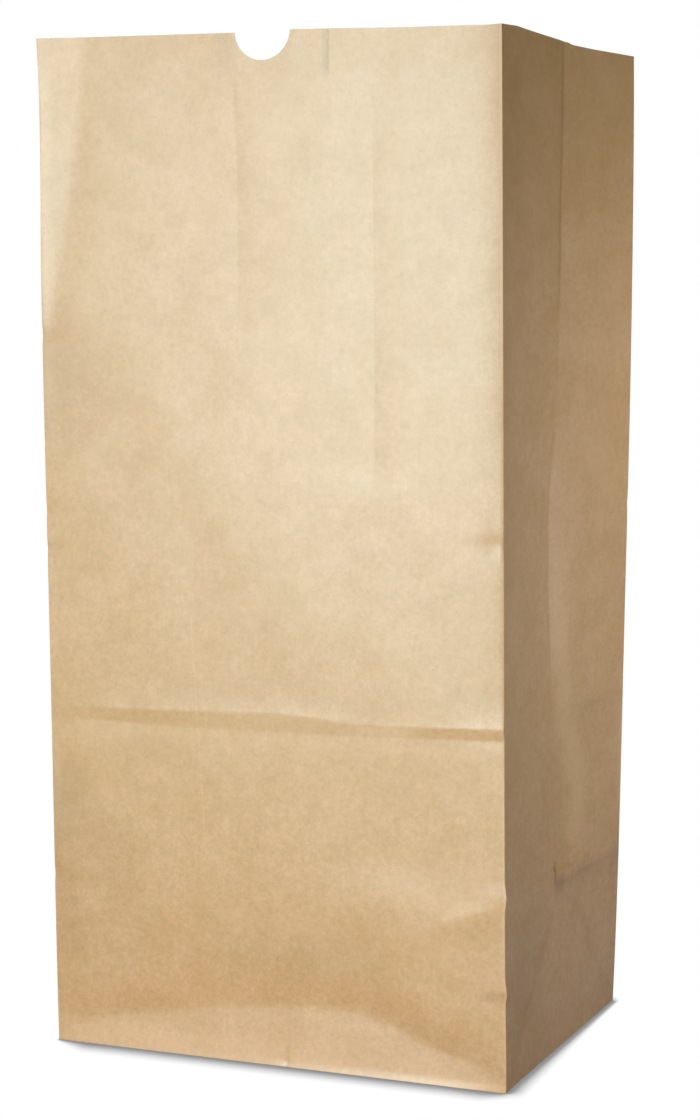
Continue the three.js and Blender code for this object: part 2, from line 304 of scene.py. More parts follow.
# Soft hollows beside the folds: place across and up, reach across and up, and depth
SOFT_HOLLOWS = [
    (-214, 232, 28, 32, 1.0),
    (198, 441, 14, 9, 0.65),
    (197, 78, 14, 7, 0.4),
]
BEND_PLACE = (-103, 530)  # a point of the long soft bend, across and up
BEND_SLANT = (0.88, 0.47)  # the direction across it
BEND_RISE = 0.45
BEND_ACROSS = (-18, 18, 18, 140)
BEND_UP = (310, 380, 520, 580)
NICK_PLACE = 12.2  # nick in the base's fold, from the panel's middle
NICK_DEPTH = 0.7
NICK_REACH = 3.0
NICK_HEIGHT = 16.0
NICK_START = 3.0  # height over which it sets in


def handling_dents(x, v):
    """Dents from handling: slanted ones with a steep upper flank and a long lower one, soft hollows as
    bell curves, one long soft bend from the left fold to the middle, and a nick in the base's fold."""
    dents = -soft_spots(x, v, SOFT_HOLLOWS)
    for at_x, at_v, depth in SLANTED_DENTS:
        along = (x - at_x) * DENT_SLANT[0] - (v - at_v) * DENT_SLANT[1]
        across = (x - at_x) * DENT_SLANT[1] + (v - at_v) * DENT_SLANT[0]
        flank = np.where(across > 0, DENT_UPPER_FLANK, DENT_LOWER_FLANK)
        dents = dents - depth * mound(along, DENT_LENGTH) * mound(across, flank)
    across = (x - BEND_PLACE[0]) * BEND_SLANT[0] + (v - BEND_PLACE[1]) * BEND_SLANT[1]
    bend = window(across, *BEND_ACROSS) * window(v, *BEND_UP)
    nick = mound(x - NICK_PLACE, NICK_REACH) * mound(v, NICK_HEIGHT) * np.clip(v / NICK_START, 0, 1)
    return dents + BEND_RISE * bend - NICK_DEPTH * nick


# Upright creases of the front panel: place from its middle, lowest and highest end, depth, and reach left
# and right. They set in and fade out over the two lengths below.
UPRIGHT_CREASES = [
    (-23.6, 595, 825, 1.1, 110, 30),
    (94.5, 470, 830, 1.5, 90, 30),
    (-75, 600, 680, 0.25, 60, 25),
]
CREASE_SETS_IN = 40.0
CREASE_FADES_OUT = 90.0
# Pressed mark: a short upright strip under the top edge where the paper was pinched
PRESSED_MARK = 54.7  # from the panel's middle
PRESSED_WIDTH = 6.0
PRESSED_FOOT = 814.0
PRESSED_DEPTH = 0.12
PRESSED_SIDE_EDGE = 0.8  # half the width of the step at its sides
PRESSED_FOOT_EDGE = 2.0


def upright_creases(along, v):
    """Faint upright creases from the tube machine: valleys with a sharp line and exponential flanks."""
    total = 0
    for at, low, high, depth, left, right in UPRIGHT_CREASES:
        length = window(v, low, low + CREASE_SETS_IN, high - CREASE_FADES_OUT, high)
        total = total - depth * length * crease_line(along - at, before=left, after=right)
    return total


def pressed_mark(along, v):
    """The pressed strip: 1 inside its sides and foot and 0 outside, with smooth steps as edges."""
    inside = ease(PRESSED_WIDTH / 2 - np.abs(along - PRESSED_MARK), -PRESSED_SIDE_EDGE, PRESSED_SIDE_EDGE)
    return inside * ease(v, PRESSED_FOOT - PRESSED_FOOT_EDGE, PRESSED_FOOT + PRESSED_FOOT_EDGE)


# Slack of the paper: low waves in all directions, which leave the base flat
WAVE_COUNT = 18
WAVE_LENGTHS = (45, 180)
WAVE_HEIGHT = 0.035
WAVES_START = 60.0


def paper_waves(along, v, seed):
    """Slack of the paper: a sum of low sine waves, in seeded lengths and headings, eased in from below."""
    random = np.random.default_rng(seed)
    length = random.uniform(*WAVE_LENGTHS, WAVE_COUNT)
    heading = random.uniform(0, 2 * np.pi, WAVE_COUNT)
    phase = random.uniform(0, 2 * np.pi, WAVE_COUNT)
    turns = (along[..., None] * np.cos(heading) + v[..., None] * np.sin(heading)) / length
    return WAVE_HEIGHT * np.sin(2 * np.pi * turns + phase).sum(-1) * ease(v, 0, WAVES_START)


FOLD_CLEARANCE = (1, 9)  # from a corner fold, small relief of the sides comes in between these distances


def clear_of_folds(share, width):
    """Keeps small relief off a side's two folds: a smooth step with the distance from the nearer one."""
    return ease(np.minimum(share, 1 - share) * width, *FOLD_CLEARANCE)


# Gussets: their depth at the centre crease, and how round it is. The right one's crease also sways off the
# middle, and beside it on the far half the paper curls in deeper.
RIGHT_HEIGHTS = [DEPTH / 2, 330, 520, 700, HEIGHT]
RIGHT_DEPTHS = [5.0, 7.0, 8.5, 9.0, 7.5]
LEFT_HEIGHTS = [DEPTH / 2, 330, 520, HEIGHT]
LEFT_DEPTHS = [4.5, 7.0, 12.0, 7.5]
SWAY_HEIGHTS = [0, DEPTH / 2, 220, 260, 300, 340, 400, 450, 520, 590, 680, HEIGHT]
SWAYS = [0, 12, 18, 7, -4, -14, -21, -22, -15, -8, -1, 1]
CURL_HEIGHTS = [DEPTH / 2, 190, 270, 340, 480, 530]
CURLS = [2.5, 6.0, 6.0, 4.2, 2.6, 0]
CURL_REACH = 28.0
ROUNDING_HEIGHTS = [250, 325, 490, 560, 640, 720]
ROUNDINGS = [26, 2, 2, 18, 18, 2]
NEAR_FLATTENING = 0.3  # what the near half's power loses, over the height below
NEAR_FLATTENS_OVER = 110.0
TRIANGLE_GROOVE = 0.5  # depth along the base triangle's slanted creases
GROOVE_ABOVE = 7.0  # the groove's line lies this far above them
GROOVE_REACH = 9.0
GROOVE_START = (0.02, 0.2)  # shares of the half gusset
GROOVE_FADE = 30.0  # below the triangle's tip
# Ridges across the right gusset's far half: height, reach below and above, rise, and where they start
RIGHT_RIDGES = [(145, 26, 40, 1.9, -14), (288, 60, 45, 1.0, 14)]
RIDGES_EASE = 14.0
CREASE_GROOVE = 0.7  # depth at the right gusset's crease in its upper half
CREASE_GROOVE_UP = (590, 700)
CREASE_GROOVE_NEAR = 6.0  # reach into the near half
CREASE_GROOVE_FAR = 70.0
NEAR_LEDGE = 0.5  # depth of the pack fold's ledge in the right gusset's near half
NEAR_LEDGE_ACROSS = (0.1, 0.45)  # shares of the gusset
BACK_HOLLOW_START = 9.0  # hollow beside the back fold: it sets in and dies away over these lengths
BACK_HOLLOW_FADE = 70.0
BACK_HOLLOW_UP = (130, 190, 280, 330)
RIGHT_SLACK = 0.7  # share of the paper's slack that the right gusset has
# Back panel: the lap seam's cut edge, from the middle, its slope and lap, the rise of the main pack fold,
# and the other pack folds with their height, reach and rise
SEAM_EDGE = 70.0
SEAM_SLOPE = 0.6
SEAM_LAP = 28.0
SEAM_UP = (0, 4)
BACK_LEDGE = 0.7
BACK_FOLDS = [(150, 9, 0.3), (598, 10, 0.15)]


def gusset_relief(share, v, depth, curl):
    """A gusset folds in along its centre crease. The near half flattens towards the crease by a power.
    The far half is straight after a rounded start, a hyperbola, plus a curl that dies away exponentially
    from the crease. Below half the gusset's depth it folds along the two slanted creases of the base
    triangle instead, with a soft groove along them."""
    half = DEPTH / 2
    near = np.clip(2 * share, 0, 1)
    far = np.clip(2 - 2 * share, 0, 1)
    near_part = (depth + curl) * near ** (1 - NEAR_FLATTENING * ease(v, half, half + NEAR_FLATTENS_OVER))
    rounding = eased_steps(v, ROUNDING_HEIGHTS, ROUNDINGS)
    from_crease = np.hypot((1 - far) * half, rounding) - rounding
    to_fold = np.hypot(half, rounding) - rounding
    far_part = depth * (1 - from_crease / to_fold) + curl * np.exp(-from_crease / CURL_REACH)
    from_corner = np.minimum(near, far)
    lower = depth * np.minimum(v / half, from_corner)
    groove = TRIANGLE_GROOVE * mound(v - half * from_corner - GROOVE_ABOVE, GROOVE_REACH)
    groove = groove * ease(from_corner, *GROOVE_START)
    relief = np.where(v < half, lower, np.where(share < 0.5, near_part, far_part))
    return -relief - groove * (1 - ease(v, half - GROOVE_FADE, half))


def front_relief(share, x, v):
    """How far the front panel stands out: the sum of its creases, hollow, crown, dents and slack, of
    which the small ones run out within a few millimetres of the corner folds."""
    along = (share - 0.5) * WIDTH
    from_fold = (1 - share) * WIDTH
    large = base_hollow(x, v) + mouth_flare(x, v) + panel_crown(from_fold, v) + main_pack_fold(x, v)
    small = half_pack_fold(x, v) + upright_creases(along, v) + handling_dents(x, v)
    small = small + paper_waves(x, v, seed=4) - PRESSED_DEPTH * pressed_mark(along, v)
    return large + clear_of_folds(share, WIDTH) * small


def back_relief(share, x, v):
    """How far the back panel stands out: pack folds, hollow and slack as on the front, and the lap seam,
    a second layer that starts at its cut edge and sinks back behind the lap."""
    along = share * WIDTH - (WIDTH / 2 - SEAM_EDGE)
    seam = PAPER * np.clip(along / SEAM_SLOPE, 0, 1) * (1 - ease(along, SEAM_LAP, 2 * SEAM_LAP))
    small = BACK_LEDGE * ledge_band(v) + paper_waves(x, v, seed=9)
    for height, reach, rise in BACK_FOLDS:
        small = small + rise * mound(v - height, reach)
    return clear_of_folds(share, WIDTH) * small + base_hollow(-x, v) + seam * ease(v, *SEAM_UP)


def right_relief(share, y, v):
    """How far the right gusset stands out: its folds and curl, a narrow groove at the crease in the upper
    half, two ridges across the far half, at the main pack fold and at the base triangle's tip, with a
    straight slope below and an exponential one above, the pack fold's ledge in the near half, a shallow
    hollow beside the back fold, and slack."""
    depth = eased_steps(v, RIGHT_HEIGHTS, RIGHT_DEPTHS)
    folds = gusset_relief(share, v, depth, eased_steps(v, CURL_HEIGHTS, CURLS))
    groove = crease_line((share - 0.5) * DEPTH, before=CREASE_GROOVE_NEAR, after=CREASE_GROOVE_FAR)
    groove = CREASE_GROOVE * groove * ease(v, *CREASE_GROOVE_UP)
    small = RIGHT_SLACK * paper_waves(y, v, seed=21) - groove
    for height, below, above, rise, start in RIGHT_RIDGES:
        below_it = np.clip(1 - (height - v) / below, 0, 1)
        slopes = np.where(v < height, below_it, np.exp(-np.abs(v - height) / above))
        small = small + rise * slopes * ease(y, start, start + RIDGES_EASE)
    small = small - NEAR_LEDGE * ledge_band(v) * (1 - ease(share, *NEAR_LEDGE_ACROSS))
    from_back = (1 - share) * DEPTH
    hollow = (1 - np.exp(-from_back / BACK_HOLLOW_START)) * np.exp(-from_back / BACK_HOLLOW_FADE)
    hollow = hollow * window(v, *BACK_HOLLOW_UP)
    return folds - hollow + clear_of_folds(share, DEPTH) * small


def left_relief(share, y, v):
    """How far the left gusset stands out: its folds and slack."""
    folds = gusset_relief(share, v, eased_steps(v, LEFT_HEIGHTS, LEFT_DEPTHS), 0)
    return folds + clear_of_folds(share, DEPTH) * paper_waves(y, v, seed=33)


# Thumb notch: a round cut in the middle of the front panel's top edge
NOTCH_RADIUS = 24.5
NOTCH_DEPTH = 23.0
NOTCH_COLUMNS = 18
FOLD_MARGIN = 6.0  # width beside each fold that has its own columns
FOLD_COLUMNS = 5
NEAR_FOLD_COLUMNS = np.array([3.8, 2.6, FOLD_RADIUS + 0.25])  # distances from the fold
NOTCH_INSIDE = 0.998  # the outermost of the notch's columns stand just inside its ends
NICK_HALF_WIDTH = 1.6
FRONT_STEP = 4.6
RIGHT_STEP = 5.6
BACK_STEP = 15.0
LEFT_STEP = 18.0
TUCK_PLACE = -26.0  # small tuck of the right gusset beside its crease


def panel_columns(width, step, extra):
    """Places of one side's columns from its middle: even steps, three closer ones at each fold, and extra
    groups, each of which replaces the even columns that it spans."""
    end = width / 2 - FOLD_MARGIN
    even = np.linspace(-end, end, round(2 * end / step) + 1)
    for group in extra:
        even = even[(even < group.min() - 1) | (even > group.max() + 1)]
    near_fold = width / 2 - NEAR_FOLD_COLUMNS
    return np.sort(np.concatenate([even, near_fold, -near_fold, *extra]))


# The columns stand closer at sharp details. The two sides away from the camera have few.
notch_columns = -NOTCH_RADIUS * NOTCH_INSIDE * np.cos(np.linspace(0, np.pi, NOTCH_COLUMNS + 1))
nick_columns = NICK_PLACE + np.array([-NICK_HALF_WIDTH, NICK_HALF_WIDTH])
notch_columns = np.sort(np.append(notch_columns, nick_columns))
mark_columns = PRESSED_MARK + np.array([-5, -3.8, -3, -2.2, 0, 2.2, 3, 3.8, 5])
line_columns = UPRIGHT_CREASES[1][0] + np.array([-3, -1.2, 0, 1.2, 3])
crease_columns = np.array([-9, -6, -3.5, -1.5, 0, 1.5, 3.5, 6, 9])
tuck_columns = TUCK_PLACE + np.array([-5, -3.2, -2, -1, 0, 1.2, 3])
seam_columns = -SEAM_EDGE + np.array([-1.5, 0, SEAM_SLOPE, 14, 28, 42, 56])
sides = [
    panel_columns(WIDTH, FRONT_STEP, [notch_columns, mark_columns, line_columns]) / WIDTH + 0.5,
    panel_columns(DEPTH, RIGHT_STEP, [tuck_columns, crease_columns]) / DEPTH + 0.5,
    panel_columns(WIDTH, BACK_STEP, [seam_columns]) / WIDTH + 0.5,
    panel_columns(DEPTH, LEFT_STEP, [crease_columns]) / DEPTH + 0.5,
]

# The columns run round the tube: those over each corner fold, then those of the side after it
FOLD_TURNS = np.linspace(0, np.pi / 2, FOLD_COLUMNS)
side = np.concatenate([np.full(FOLD_COLUMNS + len(shares), i) for i, shares in enumerate(sides)])
turn = np.concatenate([np.append(FOLD_TURNS, np.full(len(shares), np.pi / 2)) for shares in sides])
share = np.concatenate([np.append(np.zeros(FOLD_COLUMNS), shares) for shares in sides])
on_panel = share > 0

# The rows run up the wall, closer together where the paper is creased: start, end and step of each stretch
# below and above the main pack fold's ledge, and the numbers of rows on the ledge and below the mouth
LOWER_ROWS = [
    (ROLL_RADIUS, 30, 2.4),
    (30, 130, 4.2),
    (130, 174, 2.8),
    (174, 270, 8.0),
    (270, LEDGE_LOW, 2.0),
]
LEDGE_ROWS = 7
UPPER_ROWS = [
    (LEDGE_HIGH + 1.6, 320, 1.9),
    (320, 425, 8.4),
    (425, 460, 3.5),
    (460, 575, 9.0),
    (575, 615, 3.2),
    (615, 790, 9.6),
]
MOUTH_ROWS = 14
rows = np.concatenate([
    *[np.arange(*stretch) for stretch in LOWER_ROWS],
    np.linspace(LEDGE_LOW, LEDGE_HIGH, LEDGE_ROWS),
    *[np.arange(*stretch) for stretch in UPPER_ROWS],
    np.linspace(UPPER_ROWS[-1][1], HEIGHT, MOUTH_ROWS),
])


def tube_section(z, inset=0.0, sway=0.0):
    """Points of the tube round its four folds, before any relief, with one row per height, and the
    directions outwards: quarter circles at the folds and straight lines between them, moved inwards by
    the inset, along the line by the sway, a share of its length, and by the kinks of both folds, fading
    exponentially."""
    folds = corner_folds(z)
    kinks = fold_kinks(z)
    here = folds[side].swapaxes(0, 1)
    after = folds[(side + 1) % 4].swapaxes(0, 1)
    before = folds[(side + 3) % 4].swapaxes(0, 1)
    back = (before - here) / np.linalg.norm(before - here, axis=-1, keepdims=True)
    length = np.linalg.norm(after - here, axis=-1, keepdims=True)
    ahead = (after - here) / length
    radius = FOLD_RADIUS - inset
    back_step = FOLD_RADIUS - radius * np.sin(turn)
    ahead_step = np.where(on_panel, 0, FOLD_RADIUS - radius * np.cos(turn))
    along = np.broadcast_to(share + sway, here.shape[:2])[..., None]
    place = here + back * back_step[:, None] + ahead * ahead_step[:, None] + (after - here) * along
    from_here = np.exp(-share[:, None] * length / KINK_FADE)
    from_after = np.exp(-(1 - share)[:, None] * length / KINK_FADE)
    place = place + kinks[side].swapaxes(0, 1) * from_here
    place = place + kinks[(side + 1) % 4].swapaxes(0, 1) * from_after
    outward = np.stack([ahead[..., 1], -ahead[..., 0]], axis=-1)
    return place, outward


# Mouth: its edge isn't quite level. Its lift is given at some places round the bag, counted in sides from
# the front left fold, and the rows of the mesh bend with it, and round the notch, from a little below.
RIM_PLACES = [0, 0.44, 0.56, 0.63, 0.7, 0.78, 0.97, 1.0, 1.12, 1.3, 1.535, 1.56, 1.7, 2.0, 3.0, 4.0]
RIM_LIFTS = [1.6, 0.3, 1.2, 0.8, 0.2, -0.6, -1.2, -0.5, 1.2, 0.2, -0.9, -2.1, -2.3, -1.2, 0.8, 1.6]
RIM_EASE = 90.0


def wall_points():
    """The wall: each row's section, moved out by the relief of its side. The right gusset's columns sway
    with its crease, by a parabola that is 0 at its folds. Rows lean with the main pack fold's two lines,
    and near the mouth they stretch evenly to its edge and round the notch."""
    spread = np.where((side == 1) & on_panel, 1 - (2 * share - 1) ** 2, 0)
    sway = eased_steps(rows, SWAY_HEIGHTS, SWAYS)[:, None] / DEPTH * spread
    place, outward = tube_section(rows, sway=sway)
    height = np.repeat(rows[:, None], len(share), axis=1)
    relief = np.zeros_like(height)
    for i, function in enumerate([front_relief, right_relief, back_relief, left_relief]):
        mine = (side == i) & on_panel
        across = place[:, mine, i % 2]
        relief[:, mine] = function(np.broadcast_to(share[mine], across.shape), across, height[:, mine])
    across = [place[..., 0], WIDTH / 2 * (1 - share), 0 * share, -WIDTH / 2 * share]
    across = np.select([side == i for i in range(4)], across)
    heights = [LEDGE_REACH[0], LEDGE_LOW, LEDGE_HIGH, LEDGE_REACH[1]]
    low_shift = np.interp(across, LINE_PLACES, LOW_LINE) - LEDGE_LOW
    high_shift = np.interp(across, LINE_PLACES, HIGH_LINE) - LEDGE_HIGH
    skewed = height + low_shift * np.interp(rows, heights, [0, 1, 0, 0])[:, None]
    skewed = skewed + high_shift * np.interp(rows, heights, [0, 0, 1, 0])[:, None]
    from_notch = np.abs(np.where(side == 0, (share - 0.5) * WIDTH, WIDTH))
    arc = np.sqrt(np.maximum(NOTCH_RADIUS**2 - from_notch**2, 0))
    rim = HEIGHT + np.interp(side + share, RIM_PLACES, RIM_LIFTS)
    rim = rim + np.where(from_notch < NOTCH_RADIUS, NOTCH_RADIUS - NOTCH_DEPTH - arc, 0)
    start = HEIGHT - RIM_EASE
    bent = start + (skewed - start) * (rim - start) / RIM_EASE
    z = np.where(skewed > start, bent, skewed)
    return np.concatenate([place + outward * relief[..., None], z[..., None]], axis=-1)


# Base: the front flap lies outermost, and the other layers rest on it and on each other
FLAP_LAP = 24.0  # the front flap ends this far past the middle
BACK_FLAP_END = 0.5  # the back flap ends this far short of it
LAYER = PAPER + 0.05
BASE_STEPS = np.array([1, 0.92, 0.7, 0.4, 0.15, 0.04, 0])[:, None]  # from the flaps' ends out to the roll
LIFT_FULL = 0.8  # from this step inwards each layer has its full height


def base_points():
    """The base, from its middle out: the front flap ends past the middle and lies outermost, the back
    flap ends under it, one layer higher, and each gusset's end triangle runs to a tip, two layers higher.
    A quarter circle then rolls up into the wall."""
    inner = np.array([WIDTH / 2 - ROLL_RADIUS, DEPTH / 2 - ROLL_RADIUS])
    tip = inner[0] - inner[1]
    corner_end = 2 * share - 1
    front_end = np.stack([corner_end * (tip - FLAP_LAP), 0 * share + FLAP_LAP], -1)
    right_end = np.stack([0 * share + tip, 0 * share], -1)
    back_end = np.stack([-corner_end * tip, 0 * share + BACK_FLAP_END], -1)
    ends = [front_end, right_end, back_end, -right_end]
    ends = np.select([(side == i)[:, None] for i in range(4)], ends)
    first_of_fold = ~on_panel & (turn == 0)
    ends = np.where(first_of_fold[:, None], np.roll(ends, 1, axis=0), ends)
    lifts = np.select([side == i for i in range(4)], [0, 2 * LAYER, LAYER, 2 * LAYER])
    lifts = np.where(first_of_fold, np.roll(lifts, 1), lifts)
    place, _ = tube_section(np.zeros(1), ROLL_RADIUS)
    flat = place + (ends - place) * BASE_STEPS[..., None]
    flat_z = lifts * np.minimum(1, BASE_STEPS / LIFT_FULL)
    parts = [np.concatenate([flat, flat_z[..., None]], axis=-1)]
    for roll in (np.pi / 6, np.pi / 3):
        place, _ = tube_section(np.zeros(1), ROLL_RADIUS * (1 - np.sin(roll)))
        z = np.full(place.shape[:2] + (1,), ROLL_RADIUS * (1 - np.cos(roll)))
        parts.append(np.concatenate([place, z], axis=-1))
    return np.concatenate(parts)


# Soft spots of painted shade on the front panel: place across and up, reach across and up, and strength
# from
# 0 to 1. They lie left of the notch, beside the left fold, above the main pack fold and above the base.
FRONT_SHADE_SPOTS = [
    (-38, 833, 11, 18, 0.2),
    (-195, 722, 22, 32, 0.09),
    (-200, 572, 42, 46, 0.2),
    (-12, 312, 35, 12, 0.06),
    (30, 96, 75, 24, 0.12),
    (-165, 92, 45, 18, 0.08),
]
# Other darker marks of the front, each with its strength first: the pressed mark, two short level lines
# under the mouth, and painted shade in a strip over the main pack fold and in one beside the left fold
PRESSED_STAIN = 0.26
SHORT_LINES = 0.08
SHORT_LINES_HEIGHT = 765.0
SHORT_LINES_REACH = 2.5
SHORT_LINES_ACROSS = [(-12, -6, 20, 30), (94, 98, 108, 118)]
FRONT_STRIPS = [(-130, -90, 312, 12, 0.05)]  # start and full across, height, reach, strength
LEFT_STRIP = 0.15
LEFT_STRIP_ACROSS = (165, 195)  # counted to the left
LEFT_STRIP_UP = (50, 110, 200, 270)
# A shade below a slanted edge at the left: a point of that edge, its fall, and its length for 1 mm across
SLANT = 0.12
SLANT_PLACE = (-200, 277)
SLANT_FALL = 1.23
SLANT_LENGTH = 1.59
SLANT_BELOW = (0, 14, 25, 80)
SLANT_ACROSS = (-140, -105)
# A strip of painted shade over the arch of the hollow, and painted shade in a nick at the right fold and
# in the nick at the base
OVER_ARCH = 0.13
OVER_ARCH_RISE = 6.0
OVER_ARCH_REACH = 13.0
OVER_ARCH_ACROSS = (60, 120)
FOLD_NICK = 0.5
FOLD_NICK_PLACE = (200, 79)
FOLD_NICK_RISE = 0.1  # to the right
FOLD_NICK_REACH = 3.0
FOLD_NICK_ACROSS = (170, 198)
NICK_SHADE = 0.3
NICK_SHADE_UP = (8, 22)
# Lines of painted shade with a sharp upper edge, at the half pack fold's left end, counted to the left,
# and across the right gusset's far half: height, start and full across, fade below, strength
LINE_EDGE = 2.0
LEFT_LINES = [(150, 120, 190, 16, 0.1)]
GUSSET_LINES = [(142, -14, 8, 9, 0.34), (288, 14, 34, 26, 0.16)]


def strips(across, v, marks):
    """Sum of level strips: for each, its strength times a smooth step across and a bell curve up."""
    total = 0
    for start, full, height, reach, strength in marks:
        total = total + strength * ease(across, start, full) * mound(v - height, reach)
    return total


def level_lines(across, v, marks):
    """Sum of level lines: for each, its strength times a smooth step across and a sharp line up."""
    total = 0
    for height, start, full, below, strength in marks:
        line = crease_line(v - height, before=below, after=LINE_EDGE)
        total = total + strength * ease(across, start, full) * line
    return total


def front_stains_and_shade(x, v):
    """Darker places of the front panel, mostly painted shade: a sum of products of smooth steps, windows,
    bell curves and sharp lines, one for each mark named above."""
    marks = soft_spots(x, v, FRONT_SHADE_SPOTS) + PRESSED_STAIN * pressed_mark((share - 0.5) * WIDTH, v)
    for across in SHORT_LINES_ACROSS:
        line = mound(v - SHORT_LINES_HEIGHT, SHORT_LINES_REACH)
        marks = marks + SHORT_LINES * line * window(x, *across)
    marks = marks + strips(x, v, FRONT_STRIPS) + level_lines(-x, v, LEFT_LINES)
    marks = marks + LEFT_STRIP * ease(-x, *LEFT_STRIP_ACROSS) * window(v, *LEFT_STRIP_UP)
    below_slant = (SLANT_PLACE[1] - v - SLANT_FALL * (x - SLANT_PLACE[0])) / SLANT_LENGTH
    marks = marks + SLANT * window(below_slant, *SLANT_BELOW) * (1 - ease(x, *SLANT_ACROSS))
    arch = np.interp(x, ARCH_PLACES, ARCH_HEIGHTS) + OVER_ARCH_RISE
    marks = marks + OVER_ARCH * mound(v - arch, OVER_ARCH_REACH) * ease(x, *OVER_ARCH_ACROSS)
    nick = v - FOLD_NICK_PLACE[1] + FOLD_NICK_RISE * (FOLD_NICK_PLACE[0] - x)
    marks = marks + FOLD_NICK * mound(nick, FOLD_NICK_REACH) * ease(x, *FOLD_NICK_ACROSS)
    nick = mound(x - NICK_PLACE, NICK_HALF_WIDTH) * (1 - ease(v, *NICK_SHADE_UP))
    return marks + NICK_SHADE * nick


# Painted shade of the right gusset: in its crease, which reaches further into the near half lower down, in
# a small slanted tuck at full strength, below it, and along the base triangle's slanted creases; and
# darker places
CREASE_SHADE = 0.3
CREASE_SHADE_UP = (590, 690)
CREASE_SHADE_HEIGHTS = [560, HEIGHT]
CREASE_SHADE_NEAR = [9, 4]
CREASE_SHADE_FAR = 2.0
TUCK_HEIGHT = 150.0
TUCK_SLANT = 0.3
TUCK_REACH = 1.8
TUCK_UP = (140, 145, 153, 163)
TUCK_SHADE = 0.5
TUCK_SHADE_ACROSS = (-18, -13, -6, 12)
TUCK_SHADE_UP = (126, 141, 144, 149)
TRIANGLE_SHADE = 0.16
TRIANGLE_SHADE_BELOW = 4.0
TRIANGLE_SHADE_REACH = 7.0
TRIANGLE_SHADE_ENDS = (110, 130)
GUSSET_DARK_SPOTS = [(-105, 70, 65, 65, 0.3)]  # near the front of the base, listed as the front's soft spots
GUSSET_STRIPS = [(70, 120, 405, 45, 0.12)]  # at the back fold, as the front's strips


def gusset_stains_and_shade(y, v):
    """Darker places of the right gusset, mostly painted shade: a sum of products of smooth steps, windows
    and bell curves, one for each mark named above, of which the tuck and its shade don't add up."""
    from_crease = (share - 0.5) * DEPTH
    near = np.interp(v, CREASE_SHADE_HEIGHTS, CREASE_SHADE_NEAR)
    reach = np.where(from_crease < 0, near, CREASE_SHADE_FAR)
    marks = CREASE_SHADE * mound(from_crease, reach) * ease(v, *CREASE_SHADE_UP)
    tuck = mound(from_crease - TUCK_PLACE + TUCK_SLANT * (TUCK_HEIGHT - v), TUCK_REACH)
    tuck = tuck * window(v, *TUCK_UP)
    shade = TUCK_SHADE * window(y, *TUCK_SHADE_ACROSS) * window(v, *TUCK_SHADE_UP)
    marks = marks + np.maximum(tuck, shade) + level_lines(y, v, GUSSET_LINES)
    slanted_creases = DEPTH / 2 * (1 - np.abs(2 * share - 1)) - TRIANGLE_SHADE_BELOW
    triangle = mound(v - slanted_creases, TRIANGLE_SHADE_REACH) * (1 - ease(v, *TRIANGLE_SHADE_ENDS))
    marks = marks + TRIANGLE_SHADE * triangle
    return marks + soft_spots(y, v, GUSSET_DARK_SPOTS) + strips(y, v, GUSSET_STRIPS)


def paper_stains_and_shade(points):
    """Stains and painted shade of the whole bag: the front panel's and the right gusset's, and 0
    elsewhere.
    """
    x, y, v = points[..., 0], points[..., 1], points[..., 2]
    return np.select([side == 0, side == 1], [front_stains_and_shade(x, v), gusset_stains_and_shade(y, v)], 0) * on_panel


# Soft spots of painted light on the front panel: place across and up, reach across and up, and strength
# from
# 0 to 1. They lie at the right of the main pack fold and above the base.
FRONT_LIGHT_SPOTS = [
    (110, 289, 22, 6, 0.25),
    (132, 116, 42, 15, 0.16),
    (152, 70, 20, 13, 0.16),
    (-66, 50, 30, 11, 0.15),
]
# Painted highlight on the right fold's edge: width on the front panel and turn over the fold, strength,
# and more higher up
LIT_EDGE = 2.0
LIT_TURN = 1.0
FOLD_HIGHLIGHT = 0.2
FOLD_HIGHLIGHT_MORE = 0.65
FOLD_HIGHLIGHT_MORE_UP = (520, 640)
FOLD_HIGHLIGHT_UP = (2, 20)
# Painted light along the panel's foot, less at the right, where it has a narrow strip instead
FOOT_LIGHT = 0.25
FOOT_LIGHT_UP = (10, 34)
FOOT_LIGHT_LESS = 0.7
FOOT_LIGHT_LESS_ACROSS = (20, 120)
FOOT_STRIP = 0.38
FOOT_STRIP_ACROSS = (20, 160)
FOOT_STRIP_UP = (4, 9)
# Painted highlights: a line below the main pack fold, and one at the right of the half pack fold, listed
# as the front's strips of shade
LIT_LINE = 0.13
LIT_LINE_HEIGHT = 275.0
LIT_LINE_REACH = 7.0
LIT_STRIPS = [(60, 130, 150, 10, 0.14)]
# Painted light on the right gusset: a band beyond its crease, a strip beside the back fold, and two broad
# stretches beyond
BAND_LIGHT = 0.34
BAND_HEIGHTS = [150, 270, 330]
BAND_PLACES = [40, 28, 20]
BAND_REACH = 17.0
BAND_UP = (145, 190, 390, 470)
BACK_FOLD_LIGHT = [(0, 235, 14, 75, 0.36)]  # place from the back fold and up, reach and strength
FAR_LIGHT = 0.1
FAR_ACROSS = (0.55, 0.7)  # shares of the gusset
FAR_HEIGHT = 210.0
FAR_REACH = 60.0
FAR_MOUTH_UP = (740, 800)


